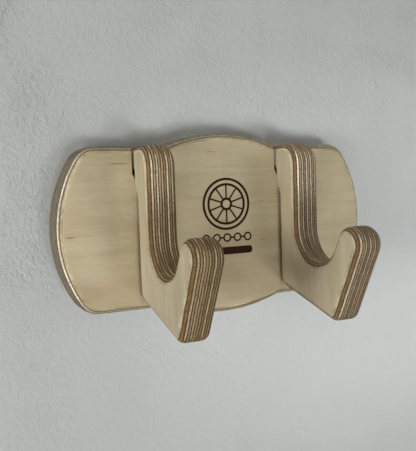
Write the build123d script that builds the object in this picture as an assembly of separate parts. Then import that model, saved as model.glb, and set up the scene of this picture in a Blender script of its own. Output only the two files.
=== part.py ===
"""Bicycle wall rack: two plywood hooks hang in slots of a plywood backplate, which is screwed to the wall.

Millimetres. X runs along the wall to the right, Y into the wall and Z up. The origin is the centre of the
backplate's rear face, so everything in front of the wall has a negative Y.
"""

import os
from math import cos, radians, sin, sqrt, tan

from build123d import *

# Both plywood parts are cut from one sheet.
SHEET = 18.0
ROUNDOVER = 5.0  # radius along the front edges of both parts

# Backplate outline
PLATE_WIDTH = 203.0
PLATE_HEIGHT = 94.0  # over the straight parts of the top and bottom edges
BULGE_HEIGHT = 7.2  # how far the middle stands above and below them
END_RADIUS = 76.0  # the left and right ends are arcs
CORNER_RADIUS = 13.5
KINK_RADIUS = 4.0  # inside corner where the bulge meets the straight edge
REAR_EASE = 0.6

# Hooks, one each side of the bulge
HOOK_SPACING = 93.0
HOOK_X = HOOK_SPACING / 2
STEM_WIDTH = 19.5
STEM_CORNER_RADIUS = 12.5
SEAT_RADIUS = 19.5  # the bicycle's tube lies in this
SEAT_Z = -3.4  # height of the seat's centre
TIP_INNER_LEAN = 30.0  # degrees from upright, away from the wall
TIP_FRONT_LEAN = 27.0
TIP_TOP_FROM_WALL = 99.7  # front top corner of the tip, before rounding
TIP_TOP_Z = -6.2
TIP_RADIUS = 9.2
FOOT_Z = -40.6  # where the lower edge would meet the backplate
FOOT_SLOPE = 14.5  # degrees that the lower edge falls away from the wall
FOOT_FRONT_RADIUS = 5.6
FOOT_REAR_RADIUS = 9.0
RUNOUT_Z = 15.0  # the rear edge's roundover stops here
BIT_BEARING_RADIUS = 6.35

# Hanging joint: the hook's tongue drops behind a web left in the backplate
WEB_THICKNESS = 9.0
WEB_TOP_Z = 28.0
TONGUE_BOTTOM_Z = 8.0  # it rests on the floor of the pocket
JOINT_GAP = 0.2
WALL_GAP = 0.4  # keeps the tongue off the wall
NOTCH_TOP_Z = 35.4
SLOT_SIDE_GAP = 1.2
SLOT_CORNER_RADIUS = 4.5
SLOT_EASE = 0.8
RELIEF_RADIUS = 2.0  # drilled corners of the pocket's floor

# Countersunk wall screws, hidden behind the hooks
SCREW_Z = {"upper": -4.0, "lower": -30.0}
SCREW_SIDE_X = {"left": -HOOK_X, "right": HOOK_X}
SCREW_HOLE_RADIUS = 2.8
HEAD_RADIUS = 4.4
HEAD_RIM = 0.4
HEAD_RECESS = 0.3
SHANK_RADIUS = 1.6
SHANK_END_Y = 6.0
SCREW_END_Y = 42.0
THREAD_RADIUS = 2.25
CORE_RADIUS = 1.4
CORE_STEP = 0.5  # the shank narrows to the core over this length
THREAD_PITCH = 2.2
THREAD_RISE = 0.5
THREAD_CREST = 0.1
THREAD_FALL = 0.3
TIP_LENGTH = 6.0
SEAT_GAP = 0.03
DRIVE_LOBE_RADIUS = 0.55
DRIVE_REACH = 1.7
DRIVE_DEPTH = 2.0

# Engraved emblem: a spoked wheel above a row of chain links and a bar
EMBLEM_X = 1.5
ENGRAVE_DEPTH = 0.5
LINE = 1.5
FINE_LINE = 1.0
WHEEL_Z = 11.8
WHEEL_RADII = (15.8, 12.6)
HUB_RADIUS = 3.2
SPOKES = 10
LINK_Z = -8.6
LINK_RADIUS = 2.7
LINK_PITCH = 7.0
LINKS = 5
BAR_Z = -16.6
BAR_SIZE = (34.0, 4.6)
BAR_CORNER_RADIUS = 2.0

OVERCUT = 1.0  # how far cutters run past the material
PLATE_FRONT = -SHEET
STEM_FRONT = PLATE_FRONT - STEM_WIDTH
PLATE_TOP = PLATE_HEIGHT / 2
TONGUE_FRONT = PLATE_FRONT + WEB_THICKNESS + JOINT_GAP
NOTCH_RADIUS = (TONGUE_FRONT - PLATE_FRONT) / 2
NOTCH_CENTRE_Z = NOTCH_TOP_Z - NOTCH_RADIUS


def plate_outline():
    """The backplate's outline in X and Z, symmetric both ways."""
    half = PLATE_WIDTH / 2
    end_centre = half - END_RADIUS
    corner_x = end_centre + sqrt(END_RADIUS**2 - PLATE_TOP**2)
    kink_x = HOOK_X - SHEET / 2
    edges = []
    for side in (1, -1):
        edges += [
            Line((side * corner_x, side * PLATE_TOP), (side * kink_x, side * PLATE_TOP)),
            ThreePointArc(
                (side * kink_x, side * PLATE_TOP),
                (0, side * (PLATE_TOP + BULGE_HEIGHT)),
                (-side * kink_x, side * PLATE_TOP),
            ),
            Line((-side * kink_x, side * PLATE_TOP), (-side * corner_x, side * PLATE_TOP)),
            ThreePointArc(
                (-side * corner_x, side * PLATE_TOP), (-side * half, 0), (-side * corner_x, -side * PLATE_TOP)
            ),
        ]
    face = make_face(edges)
    corners = [v for v in face.vertices() if abs(v.X) > corner_x - 1]
    face = fillet(corners, CORNER_RADIUS)
    kinks = [v for v in face.vertices() if abs(abs(v.X) - kink_x) < 0.1]
    return fillet(kinks, KINK_RADIUS)


def upright(sketch, y):
    """Stands a flat sketch up in X and Z at the depth y, ready to extrude along +Y."""
    return Plane(origin=(0, y, 0), x_dir=(1, 0, 0), z_dir=(0, -1, 0)) * sketch


def cut_from(sketch, y_from, y_to):
    """A cutter with the sketch's outline between two depths."""
    return extrude(upright(sketch, y_from), y_to - y_from, dir=(0, 1, 0))


def slot_sketch(x, grow=0.0):
    """Open-topped slot with a round-cornered floor, made larger all round by grow."""
    width = SHEET + 2 * (SLOT_SIDE_GAP + grow)
    height = PLATE_TOP + OVERCUT - WEB_TOP_Z + 2 * grow
    slot = Pos(x, WEB_TOP_Z - grow + height / 2) * Rectangle(width, height)
    return fillet(slot.vertices().sort_by(Axis.Y)[:2], SLOT_CORNER_RADIUS + grow)


def pocket_sketch(x):
    """Rear pocket for the tongue, its floor's corners drilled out so that the square tongue can reach it."""
    width = SHEET + 2 * JOINT_GAP
    height = PLATE_TOP + OVERCUT - TONGUE_BOTTOM_Z
    pocket = Pos(x, TONGUE_BOTTOM_Z + height / 2) * Rectangle(width, height)
    for side in (-1, 1):
        relief_x = x + side * (width / 2 - RELIEF_RADIUS / 2)
        pocket += Pos(relief_x, TONGUE_BOTTOM_Z + RELIEF_RADIUS / 2) * Circle(RELIEF_RADIUS)
    return pocket


def emblem_sketch():
    """Line drawing of a wheel, five chain links and a bar."""
    outer, inner = WHEEL_RADII
    wheel = Circle(outer) - Circle(outer - LINE) + Circle(inner) - Circle(inner - LINE)
    spoke_length = inner - LINE / 2 - HUB_RADIUS
    for i in range(SPOKES):
        spoke = Pos(HUB_RADIUS + spoke_length / 2, 0) * Rectangle(spoke_length, FINE_LINE)
        wheel += Rot(0, 0, 90 + 360 * i / SPOKES) * spoke
    wheel += Circle(HUB_RADIUS + LINE / 2) - Circle(HUB_RADIUS - LINE / 2)
    drawing = Pos(0, WHEEL_Z) * wheel
    link = Circle(LINK_RADIUS) - Circle(LINK_RADIUS - FINE_LINE)
    for i in range(LINKS):
        drawing += Pos((i - (LINKS - 1) / 2) * LINK_PITCH, LINK_Z) * link
    joint_length = LINK_PITCH - 2 * LINK_RADIUS + FINE_LINE
    for i in range(LINKS - 1):
        drawing += Pos((i - (LINKS - 2) / 2) * LINK_PITCH, LINK_Z) * Rectangle(joint_length, FINE_LINE)
    drawing += Pos(0, BAR_Z) * RectangleRounded(*BAR_SIZE, BAR_CORNER_RADIUS)
    return Pos(EMBLEM_X, 0) * drawing


def countersunk_hole(x, z):
    """Clearance hole with a 90 degree countersink that the screw's head sits in."""
    rim_y = PLATE_FRONT + HEAD_RECESS + HEAD_RIM
    grow = SEAT_GAP * sqrt(2)
    mouth = HEAD_RADIUS + grow + (rim_y - PLATE_FRONT)
    throat_y = rim_y + HEAD_RADIUS + grow - SCREW_HOLE_RADIUS
    profile = make_face(
        Polyline(
            (0, PLATE_FRONT - OVERCUT),
            (mouth + OVERCUT, PLATE_FRONT - OVERCUT),
            (SCREW_HOLE_RADIUS, throat_y),
            (SCREW_HOLE_RADIUS, OVERCUT),
            (0, OVERCUT),
            close=True,
        )
    )
    return Pos(x, 0, z) * revolve(profile, Axis.Y)


def make_backplate():
    plate = cut_from(plate_outline(), PLATE_FRONT, 0)
    plate = fillet(plate.faces().sort_by(Axis.Y)[0].edges(), ROUNDOVER)
    plate = fillet(plate.faces().sort_by(Axis.Y)[-1].edges(), REAR_EASE)
    for x in SCREW_SIDE_X.values():
        plate -= cut_from(slot_sketch(x), PLATE_FRONT - OVERCUT, OVERCUT)
        plate -= extrude(upright(slot_sketch(x, SLOT_EASE), PLATE_FRONT), -SLOT_EASE, taper=45)
        plate -= cut_from(pocket_sketch(x), PLATE_FRONT + WEB_THICKNESS, OVERCUT)
        for z in SCREW_Z.values():
            plate -= countersunk_hole(x, z)
    return plate - cut_from(emblem_sketch(), PLATE_FRONT - OVERCUT, PLATE_FRONT + ENGRAVE_DEPTH)


def hook_outline():
    """The hook's rounded-over edge as lines in Y and Z, from the tongue's top round to the rear edge."""
    seat_y = STEM_FRONT - SEAT_RADIUS
    top = FilletPolyline(
        (-WALL_GAP, PLATE_TOP), (STEM_FRONT, PLATE_TOP), (STEM_FRONT, SEAT_Z), radius=STEM_CORNER_RADIUS
    )
    seat = CenterArc((seat_y, SEAT_Z), SEAT_RADIUS, 0, -(180 - TIP_INNER_LEAN))
    leave = seat @ 1
    inner, front, slope = radians(TIP_INNER_LEAN), radians(TIP_FRONT_LEAN), radians(FOOT_SLOPE)

    # the tip's top edge is square to its front edge
    top_front = Vector(-TIP_TOP_FROM_WALL, TIP_TOP_Z)
    along_top = Vector(cos(front), sin(front))
    up_inner = Vector(-sin(inner), cos(inner))
    gap = leave - top_front
    reach = (gap.X * up_inner.Y - gap.Y * up_inner.X) / (along_top.X * up_inner.Y - along_top.Y * up_inner.X)
    top_inner = top_front + along_top * reach

    # the front edge comes down to meet the sloping lower edge
    down = Vector(sin(front), -cos(front))
    fall = (FOOT_Z + tan(slope) * (top_front.X - PLATE_FRONT) - top_front.Y) / (down.Y - tan(slope) * down.X)
    foot_front = top_front + down * fall

    lower = FilletPolyline(
        leave,
        top_inner,
        top_front,
        foot_front,
        (PLATE_FRONT, FOOT_Z),
        (PLATE_FRONT, RUNOUT_Z),
        radius=[TIP_RADIUS, TIP_RADIUS, FOOT_FRONT_RADIUS, FOOT_REAR_RADIUS],
    )
    return [*top.edges(), *seat.edges(), *lower.edges()]


def roundover_profile():
    """What the router bit takes off the rear edge, drawn in X and Y at the hook's right side face."""
    x, y, r = SHEET / 2, PLATE_FRONT, ROUNDOVER
    curve = CenterArc((x - r, y - r), r, 0, 90)
    outside = Polyline(
        curve @ 1, (x - r, y + OVERCUT), (x + OVERCUT, y + OVERCUT), (x + OVERCUT, y - r), curve @ 0
    )
    return make_face([*curve.edges(), *outside.edges()])


def make_hook():
    """One hook, centred on X = 0."""
    outline = hook_outline()
    joint = Polyline(
        (TONGUE_FRONT, NOTCH_CENTRE_Z),
        (TONGUE_FRONT, TONGUE_BOTTOM_Z),
        (-WALL_GAP, TONGUE_BOTTOM_Z),
        (-WALL_GAP, PLATE_TOP),
    )
    rear = Line((PLATE_FRONT, RUNOUT_Z), (PLATE_FRONT, NOTCH_CENTRE_Z))
    notch = ThreePointArc(rear @ 1, ((PLATE_FRONT + TONGUE_FRONT) / 2, NOTCH_TOP_Z), joint @ 0)
    face = Plane.YZ * make_face([*outline, *rear.edges(), *notch.edges(), *joint.edges()])
    hook = extrude(face, SHEET / 2, both=True)

    path = Pos(SHEET / 2, 0, 0) * (Plane.YZ * Wire(outline))
    profile = Pos(0, 0, RUNOUT_Z) * roundover_profile()
    axis = Axis((0, PLATE_FRONT + BIT_BEARING_RADIUS, RUNOUT_Z), (1, 0, 0))
    cutter = sweep(profile, path=path) + revolve(profile, axis, -90)
    hook -= cutter
    return hook - mirror(cutter, Plane.YZ)


def drive_recess(y):
    """Six-lobed driver socket, opening at the depth y."""
    lobes = Circle(DRIVE_REACH - DRIVE_LOBE_RADIUS)
    for i in range(3):
        lobes += Rot(0, 0, 60 * i) * SlotOverall(2 * DRIVE_REACH, 2 * DRIVE_LOBE_RADIUS)
    return cut_from(lobes, y - OVERCUT, y + DRIVE_DEPTH)


def make_screw():
    """Countersunk wood screw along Y, with ring threads standing in for the helix."""
    head_y = PLATE_FRONT + HEAD_RECESS
    points = [
        (0, head_y),
        (HEAD_RADIUS, head_y),
        (HEAD_RADIUS, head_y + HEAD_RIM),
        (SHANK_RADIUS, head_y + HEAD_RIM + HEAD_RADIUS - SHANK_RADIUS),
        (SHANK_RADIUS, SHANK_END_Y),
        (CORE_RADIUS, SHANK_END_Y + CORE_STEP),
    ]
    thread_start_y = SHANK_END_Y + 2 * CORE_STEP
    turns = int((SCREW_END_Y - thread_start_y - THREAD_RISE) / THREAD_PITCH)
    for i in range(turns):
        y = thread_start_y + i * THREAD_PITCH
        shrink = min(1.0, (SCREW_END_Y - y) / TIP_LENGTH)
        core, crest = CORE_RADIUS * shrink, THREAD_RADIUS * shrink
        crest_y = y + THREAD_RISE
        fall_y = crest_y + THREAD_CREST
        points += [(core, y), (crest, crest_y), (crest, fall_y), (core, fall_y + THREAD_FALL)]
    points.append((0, SCREW_END_Y))
    screw = revolve(make_face(Polyline(*points, close=True)), Axis.Y)
    return screw - drive_recess(head_y)


def main():
    os.makedirs("parts", exist_ok=True)
    parts = {"backplate": make_backplate()}
    hook, screw = make_hook(), make_screw()
    for side, x in SCREW_SIDE_X.items():
        parts[f"hook_{side}"] = Pos(x, 0, 0) * hook
        for height, z in SCREW_Z.items():
            parts[f"wall_screw_{height}_{side}"] = Pos(x, 0, z) * screw
    for name, part in parts.items():
        part.label = name
        export_step(part, f"parts/{name}.step")


main()
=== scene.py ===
"""Looks of the bicycle wall rack: plywood with visible plies, a burnt-in emblem and zinc-plated screws.

X runs right along the wall, Y into it and Z up. Places in the materials are in millimetres, and those of
the camera, the stage and the lights in metres.
"""

from math import cos, radians, sin

import bpy
from mathutils import Matrix, Vector


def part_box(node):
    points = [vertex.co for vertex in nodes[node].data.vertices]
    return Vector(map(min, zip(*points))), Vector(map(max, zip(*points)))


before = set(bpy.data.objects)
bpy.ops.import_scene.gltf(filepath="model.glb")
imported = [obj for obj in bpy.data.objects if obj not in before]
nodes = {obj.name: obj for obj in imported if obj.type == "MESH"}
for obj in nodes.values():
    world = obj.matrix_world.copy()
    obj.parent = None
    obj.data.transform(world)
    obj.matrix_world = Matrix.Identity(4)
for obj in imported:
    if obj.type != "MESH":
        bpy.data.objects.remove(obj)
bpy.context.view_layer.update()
scene = bpy.context.scene

MM = 0.001
HOOKS = ("hook_left", "hook_right")
SCREWS = [name for name in nodes if name.startswith("wall_screw")]

# the camera, as solved from the photograph's perspective, with its lens and sensor in mm
CAMERA_PLACE = Vector((-0.1710, -0.3651, 0.0276))
CAMERA_YAW = radians(24.73)
CAMERA_PITCH = radians(-4.21)
CAMERA_ROLL = radians(-1.84)
LENS = 51.23
SENSOR = 36.0
NEAREST = 0.01


def make_camera():
    """Looks at the rack from its left, just above the middle of the backplate."""
    heading = Vector((sin(CAMERA_YAW), cos(CAMERA_YAW), 0))
    forward = cos(CAMERA_PITCH) * heading + sin(CAMERA_PITCH) * Vector((0, 0, 1))
    level = Vector((cos(CAMERA_YAW), -sin(CAMERA_YAW), 0))
    upright = level.cross(forward)
    right = cos(CAMERA_ROLL) * level + sin(CAMERA_ROLL) * upright
    up = -sin(CAMERA_ROLL) * level + cos(CAMERA_ROLL) * upright
    data = bpy.data.cameras.new("camera")
    data.lens = LENS
    data.sensor_width = SENSOR
    data.clip_start = NEAREST
    camera = bpy.data.objects.new("camera", data)
    turn = Matrix((right, up, -forward)).transposed()
    camera.matrix_world = Matrix.Translation(CAMERA_PLACE) @ turn.to_4x4()
    scene.collection.objects.link(camera)
    scene.camera = camera


class Tree:
    """Short calls for building nodes. A socket given as a value is linked, and a plain value is set."""

    def __init__(self, owner):
        owner.use_nodes = True
        self.tree = owner.node_tree
        self.tree.nodes.clear()

    def node(self, kind, inputs=(), **settings):
        made = self.tree.nodes.new("ShaderNode" + kind)
        for key, value in settings.items():
            setattr(made, key, value)
        for key, value in dict(inputs).items():
            self.put(made.inputs[key], value)
        return made

    def put(self, socket, value):
        if isinstance(value, bpy.types.NodeSocket):
            self.tree.links.new(value, socket)
        else:
            socket.default_value = value

    def math(self, operation, *values, clamp=False):
        return self.node("Math", enumerate(values), operation=operation, use_clamp=clamp).outputs[0]

    def times(self, first, *others):
        product = first
        for other in others:
            product = self.math("MULTIPLY", product, other)
        return product

    def one_minus(self, value):
        return self.math("SUBTRACT", 1.0, value)

    def between(self, value, low, high):
        """1 where value lies between low and high, and 0 elsewhere."""
        return self.times(self.math("GREATER_THAN", value, low), self.math("LESS_THAN", value, high))

    def vector_math(self, operation, *values):
        made = self.node("VectorMath", enumerate(values), operation=operation)
        return made.outputs["Value" if operation in ("LENGTH", "DOT_PRODUCT") else "Vector"]

    def combine(self, x, y, z):
        return self.node("CombineXYZ", {0: x, 1: y, 2: z}).outputs[0]

    def separate(self, vector):
        return self.node("SeparateXYZ", {0: vector}).outputs

    def millimetres(self, vector):
        scaled = self.node("VectorMath", {0: vector, "Scale": 1 / MM}, operation="SCALE")
        return scaled.outputs["Vector"]

    def blend(self, factor, low, high):
        """low where factor is 0, high where it is 1, for numbers."""
        inputs = {0: factor, 2: low, 3: high}
        return self.node("Mix", inputs, data_type="FLOAT").outputs[0]

    def colour(self, factor, low, high, how="MIX"):
        """The same for colours."""
        inputs = {0: factor, 6: low, 7: high}
        return self.node("Mix", inputs, data_type="RGBA", blend_type=how, clamp_factor=True).outputs[2]

    def noise(self, vector, scale, detail=2.0, roughness=0.5, distortion=0.0):
        inputs = {"Vector": vector, "Scale": scale, "Detail": detail, "Roughness": roughness}
        inputs["Distortion"] = distortion
        return self.node("TexNoise", inputs).outputs[0]

    def spread(self, value, low, high, to_low=0.0, to_high=1.0):
        """Maps low..high to to_low..to_high, smoothly and clamped."""
        inputs = {0: value, 1: low, 2: high, 3: to_low, 4: to_high}
        return self.node("MapRange", inputs, interpolation_type="SMOOTHSTEP").outputs[0]

    def steps(self, factor, greys):
        """One grey level for each equal step of factor from 0 to 1."""
        ramp = self.node("ValToRGB", {0: factor})
        stops = ramp.color_ramp
        stops.interpolation = "CONSTANT"
        while len(stops.elements) < len(greys):
            stops.elements.new(1.0)
        for i, grey in enumerate(greys):
            stops.elements[i].position = i / len(greys)
            stops.elements[i].color = (grey, grey, grey, 1)
        return ramp.outputs[0]

    def finish(self, shader):
        self.node("OutputMaterial", {0: shader.outputs[0]})


def rgb(red, green, blue):
    return (red, green, blue, 1.0)


# the sheet, in mm: two thin face veneers over eleven equal inner plies
PLIES = 13
FACE_VENEER = 0.9
SHEET = (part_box("backplate")[1].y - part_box("backplate")[0].y) / MM
INNER_PLY = (SHEET - 2 * FACE_VENEER) / (PLIES - 2)
SWAY = 0.5  # how far the plies wander along the sheet
FRAY = 0.16  # and how ragged their borders are
PLY_SHIFT = 37.0  # sets each ply's grain apart from its neighbours'
# in shares of an inner ply, from its nearest border: the glue line, the stain beside it and where the pale
# middle sets in
GLUE_LINE = (0.03, 0.12)
GLUE_STAIN = (0.04, 0.28)
CORE_EDGE = (0.15, 0.37)

# light and dark tints of the faces
PLATE_FACE = (rgb(0.66, 0.572, 0.388), rgb(0.51, 0.418, 0.258))
HOOK_FACE = (rgb(0.69, 0.615, 0.450), rgb(0.56, 0.485, 0.335))
# faint casts of the face veneers
GREEN_CAST = rgb(0.47, 0.45, 0.27)
PINK_CAST = rgb(0.66, 0.50, 0.34)
RIPPLE_CAST = rgb(0.50, 0.44, 0.26)
CAST_AMOUNT = 0.38
# browns of the cut edges: the dark, the light and the outer plies'. The left hook's are warmest, and the
# backplate's are greyer, which is partly a painted sheen
HOOK_OUTER = rgb(0.252, 0.114, 0.026)
HOOK_CUT = {
    "hook_left": (rgb(0.112, 0.061, 0.011), rgb(0.256, 0.162, 0.050), HOOK_OUTER),
    "hook_right": (rgb(0.122, 0.076, 0.033), rgb(0.275, 0.192, 0.096), HOOK_OUTER),
}
PLATE_CUT = (rgb(0.142, 0.122, 0.076), rgb(0.270, 0.238, 0.156), rgb(0.250, 0.185, 0.095))
PLY_CORE = rgb(0.868, 0.812, 0.660)
GLUE = rgb(0.050, 0.030, 0.016)
STREAK = rgb(0.27, 0.165, 0.075)
CHAR = (rgb(0.022, 0.007, 0.003), rgb(0.050, 0.020, 0.009))

# how light each ply is, and how strongly its pale middle shows on an edge, from the backplate's front and
# from each hook's left face
# the backplate's second ply, which shows on its rounded edges, is lighter in part as a painted highlight
PLATE_TONES_AND_HIGHLIGHT = (1.0, 1.45, 0.95, 0.9, 1.0, 1.05, 0.9, 1.0, 0.85, 1.05, 0.95, 1.0, 0.97)
HOOK_TONES = {
    "hook_left": (1.0, 0.90, 0.90, 1.20, 1.00, 1.25, 0.90, 0.75, 1.15, 1.05, 0.85, 0.85, 1.0),
    "hook_right": (1.0, 0.85, 1.25, 1.10, 1.15, 0.75, 1.10, 0.95, 1.15, 1.00, 0.85, 0.80, 1.0),
}
PLATE_CORES = (0.8, 1.0, 0.8, 0.7, 0.9, 0.9, 0.7, 0.8, 0.9, 0.7, 0.9, 0.8, 0.8)
HOOK_CORES = {
    "hook_left": (0.8, 0.35, 0.95, 0.9, 0.9, 1.0, 0.6, 1.0, 0.85, 0.6, 1.0, 0.3, 0.8),
    "hook_right": (0.8, 0.30, 1.00, 1.0, 0.6, 1.0, 0.8, 1.0, 0.55, 0.8, 1.0, 0.3, 0.8),
}
# painted light: the hooks' edges turn paler higher up, between these heights
HOOK_PAINTED_LIGHT_HEIGHTS = (4.0, 24.0)  # the heights between which the hooks' edges turn paler

# marks on the backplate's front: centre along and across the grain, half length, half width and strength.
# FLECKS are dark streaks in the veneer. Then come broad, faint patches of painted shade, and lines of
# painted shade that run up and down in the corners along the two faces of each hook
FLECKS = (
    (-65.0, 37.3, 8.0, 0.6, 0.9),
    (-93.5, -2.4, 3.5, 0.8, 0.7),
    (-7.7, 43.3, 4.5, 0.5, 0.6),
    (25.0, 12.5, 3.4, 0.35, 0.6),
    (26.0, -11.5, 3.0, 0.35, 0.6),
)
# painted shade: broad, faint darkening of the face
PAINTED_SHADES = (
    (-82.0, -36.0, 48.0, 17.0, 0.24),
    (-1.0, -12.0, 26.0, 50.0, 0.26),
    (20.0, -40.0, 30.0, 14.0, 0.18),
)
# painted shade in the corners where each hook meets the backplate
JOINT_SHADE_FROM_MIDDLE = 7.3
JOINT_SHADE_SHAPE = (-16.0, 3.2, 38.0, 0.60)
PAINTED_JOINT_SHADES = tuple(
    ((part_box(hook)[0].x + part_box(hook)[1].x) / 2 / MM + side, *JOINT_SHADE_SHAPE)
    for hook in HOOKS
    for side in (-JOINT_SHADE_FROM_MIDDLE, JOINT_SHADE_FROM_MIDDLE)
)
MARK_RAGGED = (2.0, 0.7, 0.0)  # how far the marks' outlines stray

# the emblem's recesses: their box along and across the grain, and the depths that are burnt
EMBLEM_BOX = ((-20.0, 23.0), (-22.0, 30.0))
BURNT_DEPTH = (0.04, 3.0)


class Plywood(Tree):
    """Birch plywood as a solid: every ply carries its own grain, so faces, edges and cuts all agree.

    grain, across and depth are the sheet's axes, as indices of X, Y and Z. lengthwise, crosswise and deep
    are a point's place along them.
    """

    def __init__(self, node, grain, across, depth):
        self.material = bpy.data.materials.new(f"{node}_plywood")
        super().__init__(self.material)
        coordinates = self.node("TexCoord")
        self.place = self.millimetres(coordinates.outputs["Object"])
        axes = self.separate(self.place)
        facing = self.separate(coordinates.outputs["Normal"])
        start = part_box(node)[0][depth] / MM
        self.lengthwise = axes[grain]
        self.crosswise = axes[across]
        self.deep = self.math("SUBTRACT", axes[depth], start)
        self.in_plane = self.combine(self.lengthwise, self.crosswise, 0.0)
        self.flat = self.math("POWER", facing[depth], 2.0)
        self.not_face = self.spread(self.flat, 0.90, 0.99, 1.0, 0.0)
        self.find_ply()
        self.find_grain(self.math("POWER", facing[grain], 2.0), self.math("POWER", facing[across], 2.0))

    def find_ply(self):
        """Which ply a point is in, and how far through it."""
        sway = self.math("SUBTRACT", self.noise(self.in_plane, 0.045, 1.0), 0.5)
        self.fray = self.math("SUBTRACT", self.noise(self.place, 1.1, 2.0), 0.5)
        frayed = self.math("MULTIPLY_ADD", self.fray, FRAY, self.deep)
        wavy = self.math("MULTIPLY_ADD", sway, SWAY, frayed)
        past_veneer = self.math("DIVIDE", self.math("SUBTRACT", wavy, FACE_VENEER), INNER_PLY)
        ply = self.math("FLOOR", self.math("ADD", past_veneer, 1.0))
        self.ply = self.math("MINIMUM", self.math("MAXIMUM", ply, 0.0), PLIES - 1)
        self.through = self.math("DIVIDE", self.math("ADD", self.ply, 0.5), PLIES)
        self.veneer = self.one_minus(self.between(self.ply, 0.5, PLIES - 1.5))
        into = self.math("FRACT", past_veneer)
        self.from_glue = self.math("MINIMUM", into, self.one_minus(into))
        inner = self.between(wavy, FACE_VENEER / 2, SHEET - FACE_VENEER / 2)
        self.glue = self.times(self.spread(self.from_glue, *GLUE_LINE, 1.0, 0.0), inner)
        self.stain = self.times(self.spread(self.from_glue, *GLUE_STAIN, 1.0, 0.0), inner)

    def find_grain(self, faces_lengthwise, faces_crosswise):
        """The ply's own grain, which turns from ply to ply, and the patterns in it, in waves per mm."""
        crossed = self.math("MODULO", self.ply, 2.0)
        self.shift = self.times(self.ply, PLY_SHIFT)
        self.end = self.blend(crossed, faces_lengthwise, faces_crosswise)
        along = self.blend(crossed, self.lengthwise, self.crosswise)
        side = self.blend(crossed, self.crosswise, self.lengthwise)

        def fibres(along_scale, side_scale, detail, distortion=0.0):
            return self.pattern(along, side, along_scale, side_scale, side_scale, detail, 0.6, distortion)

        self.figure = fibres(0.011, 0.075, 3.0, 0.9)
        self.lines = fibres(0.035, 1.3, 5.0)
        self.fine = fibres(0.12, 4.5, 3.0)
        self.pores = self.spread(fibres(0.30, 5.5, 1.0), 0.66, 0.76)
        self.ripple = self.pattern(along, side, 0.07, 0.022)
        self.rings = self.pattern(along, side, 0.06, 0.30, 2.6, 4.0, 0.7)
        self.drift = self.pattern(self.lengthwise, self.crosswise, 0.035, 0.035)
        self.speckle = self.noise(self.place, 3.2, 4.0, 0.7)

    def pattern(self, x, y, x_scale, y_scale, depth_scale=0.0, detail=2.0, roughness=0.5, distortion=0.0):
        """Noise that differs from ply to ply, stretched by one scale along each axis."""
        z = self.math("MULTIPLY_ADD", self.deep, depth_scale, self.shift)
        place = self.combine(self.times(x, x_scale), self.times(y, y_scale), z)
        return self.noise(place, 1.0, detail, roughness, distortion)

    def face_colour(self, light, dark):
        """The face veneers: figure, faint casts, ripple and pores."""
        amount = self.math("ADD", self.times(self.figure, 0.72), self.times(self.lines, 0.28))
        face = self.colour(self.spread(amount, 0.32, 0.68), light, dark)
        mottle = self.pattern(self.lengthwise, self.crosswise, 0.045, 0.075, 0.0, 3.0, 0.6, 0.6)
        face = self.colour(self.spread(mottle, 0.30, 0.50, CAST_AMOUNT, 0.0), face, GREEN_CAST)
        face = self.colour(self.spread(mottle, 0.50, 0.72, 0.0, CAST_AMOUNT), face, PINK_CAST)
        face = self.colour(self.spread(self.ripple, 0.3, 0.7, 0.0, 0.30), face, RIPPLE_CAST)
        return self.colour(self.times(self.pores, 0.20), face, STREAK)

    def edge_colour(self, browns, cores, pale):
        """The cut edges: speckled browns, warmer in the outer plies, and each ply's pale middle."""
        dark, light, outer = browns
        cut = self.colour(self.spread(self.speckle, 0.36, 0.64), dark, light)
        off_middle = self.math("ABSOLUTE", self.math("SUBTRACT", self.through, 0.5))
        outermost = self.spread(off_middle, 0.30, 0.42, 0.0, 0.65)
        cut = self.colour(self.times(outermost, self.spread(self.rings, 0.3, 0.6)), cut, outer)
        core = self.times(
            self.spread(self.from_glue, *CORE_EDGE),
            self.spread(self.end, 0.0, 0.5, 1.0, 0.28),
            self.steps(self.through, cores),
            self.spread(self.drift, 0.36, 0.62, 1.0, 0.55),
            self.spread(self.fray, -0.14, 0.10, 0.76, 1.04),
        )
        # painted light: the pale middles show more strongly higher up
        if pale:
            core = self.times(core, self.spread(self.lengthwise, *pale, 0.88, 1.20))
        return self.colour(core, cut, PLY_CORE)

    def streaks(self, pale):
        """How much lighter or darker the streaks make a cut edge."""
        broad = self.spread(self.drift, 0.35, 0.65, -0.12, 0.12)
        streaks = self.math("ADD", self.spread(self.rings, 0.3, 0.7, 0.62, 1.30), broad)
        streaks = self.math("MULTIPLY_ADD", self.fray, 0.8, streaks)
        # painted light: the edges get lighter higher up
        if pale:
            streaks = self.times(streaks, self.spread(self.lengthwise, *pale, 0.92, 1.18))
        return self.blend(self.not_face, 1.0, streaks)

    def wood(self, faces, browns, tones, cores, pale):
        """The colour of the bare wood.

        faces are the light and the dark tint of a face, and browns the dark, the light and the outer tint
        of a cut edge. tones darken or lighten each ply, and cores say how strongly its pale middle shows on
        an edge. pale is the stretch along the grain over which the edges turn paler, as painted light.
        """
        near_face = self.times(self.veneer, self.spread(self.flat, 0.25, 0.5))
        as_face = self.math("MAXIMUM", self.spread(self.flat, 0.75, 0.97), near_face)
        wood = self.colour(as_face, self.edge_colour(browns, cores, pale), self.face_colour(*faces))
        # the ramp's greys stay between 0 and 1, so the tones are halved here and doubled again
        tone = self.times(self.steps(self.through, [value / 2 for value in tones]), 2.0)
        wood = self.colour(1.0, wood, tone, "MULTIPLY")
        wood = self.colour(1.0, wood, self.streaks(pale), "MULTIPLY")
        wood = self.colour(self.times(self.spread(self.fine, 0.38, 0.66), 0.13), wood, STREAK)
        wood = self.colour(self.times(self.stain, self.not_face, 0.45), wood, browns[0])
        return self.colour(self.times(self.glue, 0.8), wood, GLUE)

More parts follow.
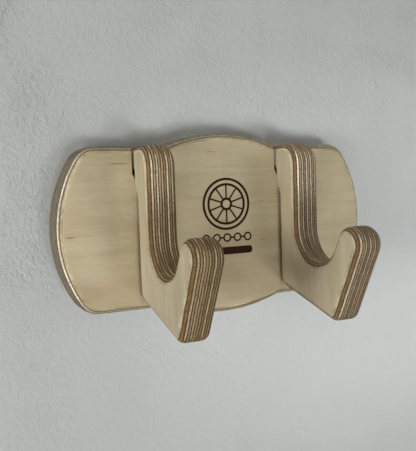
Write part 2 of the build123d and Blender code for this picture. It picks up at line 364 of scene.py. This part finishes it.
    def marked(self, wood, marks):
        """Adds flecks, and patches and lines of painted shade, to the front veneer."""
        swirl = self.node("TexNoise", {"Vector": self.place, "Scale": 0.6}).outputs[1]
        ragged = self.vector_math("SUBTRACT", swirl, (0.5, 0.5, 0.5))
        near = self.vector_math("ADD", self.in_plane, self.vector_math("MULTIPLY", ragged, MARK_RAGGED))
        amount = 0.0
        for centre_along, centre_across, half_length, half_width, strength in marks:
            offset = self.vector_math("SUBTRACT", near, (centre_along, centre_across, 0.0))
            away = self.vector_math("DIVIDE", offset, (half_length, half_width, 1.0))
            mark = self.spread(self.vector_math("LENGTH", away), 0.2, 1.0, 1.0, 0.0)
            amount = self.math("ADD", amount, self.times(mark, strength))
        front = self.math("LESS_THAN", self.deep, FACE_VENEER)
        return self.colour(self.math("MULTIPLY", amount, front, clamp=True), wood, STREAK)

    def burnt(self, box):
        """1 in the recesses inside the box, which is a range along the grain and one across it."""
        along, across = box
        return self.times(
            self.between(self.deep, *BURNT_DEPTH),
            self.between(self.lengthwise, *along),
            self.between(self.crosswise, *across),
        )

    def charred(self, wood, burnt):
        return self.colour(burnt, wood, self.colour(self.spread(self.speckle, 0.3, 0.7), *CHAR))

    def surface(self, wood, burnt):
        """The shader: rougher and duller on cut edges, with pores, glue lines and cut fibres in its bump."""
        roughness = self.math("MULTIPLY_ADD", self.lines, 0.22, 0.40)
        roughness = self.math("MULTIPLY_ADD", self.not_face, 0.22, roughness)
        height = self.math("MULTIPLY_ADD", self.pores, -0.5, self.times(self.lines, 0.5))
        height = self.math("MULTIPLY_ADD", self.one_minus(self.flat), self.times(self.speckle, 0.5), height)
        height = self.math("MULTIPLY_ADD", self.glue, -0.6, height)
        bump = self.node("Bump", {"Strength": 0.35, "Distance": 0.00012, "Height": height})
        inputs = {"Base Color": wood, "Roughness": roughness, "Normal": bump.outputs[0]}
        inputs["Specular IOR Level"] = self.blend(burnt, self.blend(self.not_face, 0.3, 0.12), 0.05)
        self.finish(self.node("BsdfPrincipled", inputs))


def backplate_plywood():
    """The grain runs along the wall."""
    t = Plywood("backplate", grain=0, across=2, depth=1)
    wood = t.wood(PLATE_FACE, PLATE_CUT, PLATE_TONES_AND_HIGHLIGHT, PLATE_CORES, pale=None)
    wood = t.marked(wood, FLECKS + PAINTED_SHADES + PAINTED_JOINT_SHADES)
    burnt = t.burnt(EMBLEM_BOX)
    t.surface(t.charred(wood, burnt), burnt)
    return t.material


def hook_plywood(hook):
    """The grain runs up the hook."""
    t = Plywood(hook, grain=2, across=1, depth=0)
    wood = t.wood(HOOK_FACE, HOOK_CUT[hook], HOOK_TONES[hook], HOOK_CORES[hook], HOOK_PAINTED_LIGHT_HEIGHTS)
    t.surface(wood, burnt=0.0)
    return t.material


ZINC = (rgb(0.60, 0.61, 0.62), rgb(0.46, 0.47, 0.46))
ZINC_MARKS = (1.2, 9.0, 1.2)  # closely spaced along the screws


def zinc():
    """Bright zinc plate, slightly clouded, with fine marks from rolling."""
    material = bpy.data.materials.new("screw_zinc")
    t = Tree(material)
    place = t.millimetres(t.node("TexCoord").outputs["Object"])
    cloud = t.noise(place, 0.5, 3.0)
    marks = t.noise(t.vector_math("MULTIPLY", place, ZINC_MARKS), 1.0, 4.0, 0.65)
    colour = t.colour(t.spread(cloud, 0.3, 0.7), *ZINC)
    roughness = t.math("MULTIPLY_ADD", marks, 0.25, t.math("MULTIPLY_ADD", cloud, 0.15, 0.46))
    bump = t.node("Bump", {"Strength": 0.2, "Distance": 0.00005, "Height": marks})
    inputs = {"Base Color": colour, "Metallic": 1.0, "Roughness": roughness, "Normal": bump.outputs[0]}
    t.finish(t.node("BsdfPrincipled", inputs))
    return material


def make_materials():
    """Puts a material in every slot of the seven CAD nodes."""
    finishes = {"backplate": backplate_plywood()}
    for name in HOOKS:
        finishes[name] = hook_plywood(name)
    steel = zinc()
    for name in SCREWS:
        finishes[name] = steel
    for name, material in finishes.items():
        node = nodes[name]
        if not node.material_slots:
            raise RuntimeError(f"{name} came without a material slot")
        for slot in node.material_slots:
            slot.material = material


# a painted pool of light: the paint is lightest around a point right of the rack and below it, and it
# darkens away from there. Further off, where the lights don't reach, it starts to glow. Distances count
# more in height
PAINT = (rgb(0.597, 0.617, 0.608), rgb(0.647, 0.667, 0.659))
LIGHT_POOL_CENTRE = (130.0, 0.0, -40.0)
PAINT_STRETCH = (1.0, 1.0, 1.6)
LIGHT_POOL_FALLOFF = (90.0, 280.0)
PAINT_GLOWS = (350.0, 1500.0)
# the plaster's two grains, in waves per mm, and where it is rougher: high up and at the left
STIPPLE = (0.36, 1.0, 0.27)
LUMPS = (0.13, 1.0, 0.10)
ROUGH_HEIGHTS = (-110.0, 60.0)
ROUGH_LEFT = (-125.0, -85.0)


def painted_wall():
    """Pale grey emulsion over rough plaster, seen only from the front."""
    material = bpy.data.materials.new("wall_paint")
    t = Tree(material)
    place = t.millimetres(t.node("TexCoord").outputs["Object"])
    stipple = t.noise(t.vector_math("MULTIPLY", place, STIPPLE), 1.0, 4.0, 0.62, 0.8)
    lumps = t.noise(t.vector_math("MULTIPLY", place, LUMPS), 1.0, 3.0, 0.55, 1.2)
    cloud = t.noise(place, 0.02, 3.0)
    off = t.vector_math("MULTIPLY", t.vector_math("SUBTRACT", place, LIGHT_POOL_CENTRE), PAINT_STRETCH)
    away = t.vector_math("LENGTH", off)
    # painted pool of light: the paint darkens away from the pool's centre
    colour = t.colour(1.0, t.colour(cloud, *PAINT), t.spread(away, *LIGHT_POOL_FALLOFF, 1.16, 0.86), "MULTIPLY")
    height = t.math("MULTIPLY_ADD", lumps, 0.8, stipple)
    axes = t.separate(place)
    rough = t.times(
        t.spread(axes[2], *ROUGH_HEIGHTS, 0.42, 0.90),
        t.spread(axes[0], *ROUGH_LEFT, 1.8, 1.0),
        t.spread(t.noise(place, 0.035, 2.0), 0.38, 0.62, 0.55, 1.15),
    )
    bump = t.node("Bump", {"Strength": rough, "Distance": 0.0012, "Height": height})
    inputs = {"Base Color": colour, "Normal": bump.outputs[0], "Roughness": 0.7, "Specular IOR Level": 0.2}
    inputs["Emission Color"] = colour
    inputs["Emission Strength"] = t.spread(away, *PAINT_GLOWS, 0.0, 0.75)
    paint = t.node("BsdfPrincipled", inputs)
    hidden = t.node("BsdfTransparent")
    behind = t.node("NewGeometry").outputs["Backfacing"]
    t.finish(t.node("MixShader", {0: behind, 1: paint.outputs[0], 2: hidden.outputs[0]}))
    return material


# the stage's size, in metres from the rack
STAGE_SIDE = 9.0
STAGE_DEPTH = 4.0
STAGE_TOP = 6.0
FLOOR_DROP = 2.4
WALL_BEHIND = 0.0002  # keeps the wall off the backplate's rear face


def plane(name, corners, material):
    """A part of the stage that is seen, but casts no shadow and sends no light on."""
    mesh = bpy.data.meshes.new(name)
    mesh.from_pydata(corners, [], [tuple(range(len(corners)))])
    mesh.materials.append(material)
    made = bpy.data.objects.new(name, mesh)
    scene.collection.objects.link(made)
    made.visible_diffuse = False
    made.visible_shadow = False
    made.visible_glossy = False


def make_stage():
    """The wall that the rack hangs on, the floor a long way below, and a backdrop for views from behind."""
    paint = painted_wall()
    x, back, front, low, high = STAGE_SIDE, WALL_BEHIND, -STAGE_DEPTH, -FLOOR_DROP, STAGE_TOP
    plane("wall", [(-x, back, low), (x, back, low), (x, back, high), (-x, back, high)], paint)
    plane("floor", [(-x, front, low), (x, front, low), (x, back, low), (-x, back, low)], paint)
    plane("backdrop", [(x, front, low), (-x, front, low), (-x, front, high), (x, front, high)], paint)


# each light's place in metres from the rack, its diameter, its power in watts and its colour
LIGHTS = {
    "key": ((-0.12, -1.90, -0.76), 0.44, 8.4, (0.98, 0.99, 1.0)),
    "low": ((0.66, -1.90, -1.10), 0.56, 11.4, (0.98, 0.99, 1.0)),
    "left": ((-0.75, -0.67, -0.34), 0.4, 1.8, (1.0, 0.985, 0.95)),
    "far_left": ((-1.12, -0.37, -0.14), 0.4, 6.2, (1.0, 0.99, 0.97)),
    "right": ((0.45, -0.45, -0.05), 0.3, 0.38, (1.0, 1.0, 1.0)),
    "top": ((0.15, -0.20, 1.00), 0.4, 2.8, (1.0, 1.0, 1.0)),
    "rear": ((0.0, 1.40, 0.0), 0.12, 12.0, (1.0, 1.0, 1.0)),
}
SKY = rgb(1.0, 0.97, 0.89)


def area_light(name, place, size, power, colour):
    """A round light that faces the rack."""
    data = bpy.data.lights.new(name, "AREA")
    data.shape = "DISK"
    data.size = size
    data.energy = power
    data.color = colour
    light = bpy.data.objects.new(name, data)
    light.location = place
    light.rotation_euler = (-Vector(place)).to_track_quat("-Z", "Y").to_euler()
    scene.collection.objects.link(light)


def make_lights():
    """Soft light from the front and below, weaker light from all round, and a sky that is brighter above."""
    for name, settings in LIGHTS.items():
        area_light(name, *settings)
    world = bpy.data.worlds.new("studio")
    scene.world = world
    t = Tree(world)
    height = t.separate(t.node("TexCoord").outputs["Generated"])[2]
    background = t.node("Background", {"Color": SKY, "Strength": t.spread(height, -0.3, 0.6, 0.04, 0.18)})
    t.node("OutputWorld", {0: background.outputs[0]})
    scene.view_settings.view_transform = "Standard"


make_camera()
make_materials()
make_stage()
make_lights()
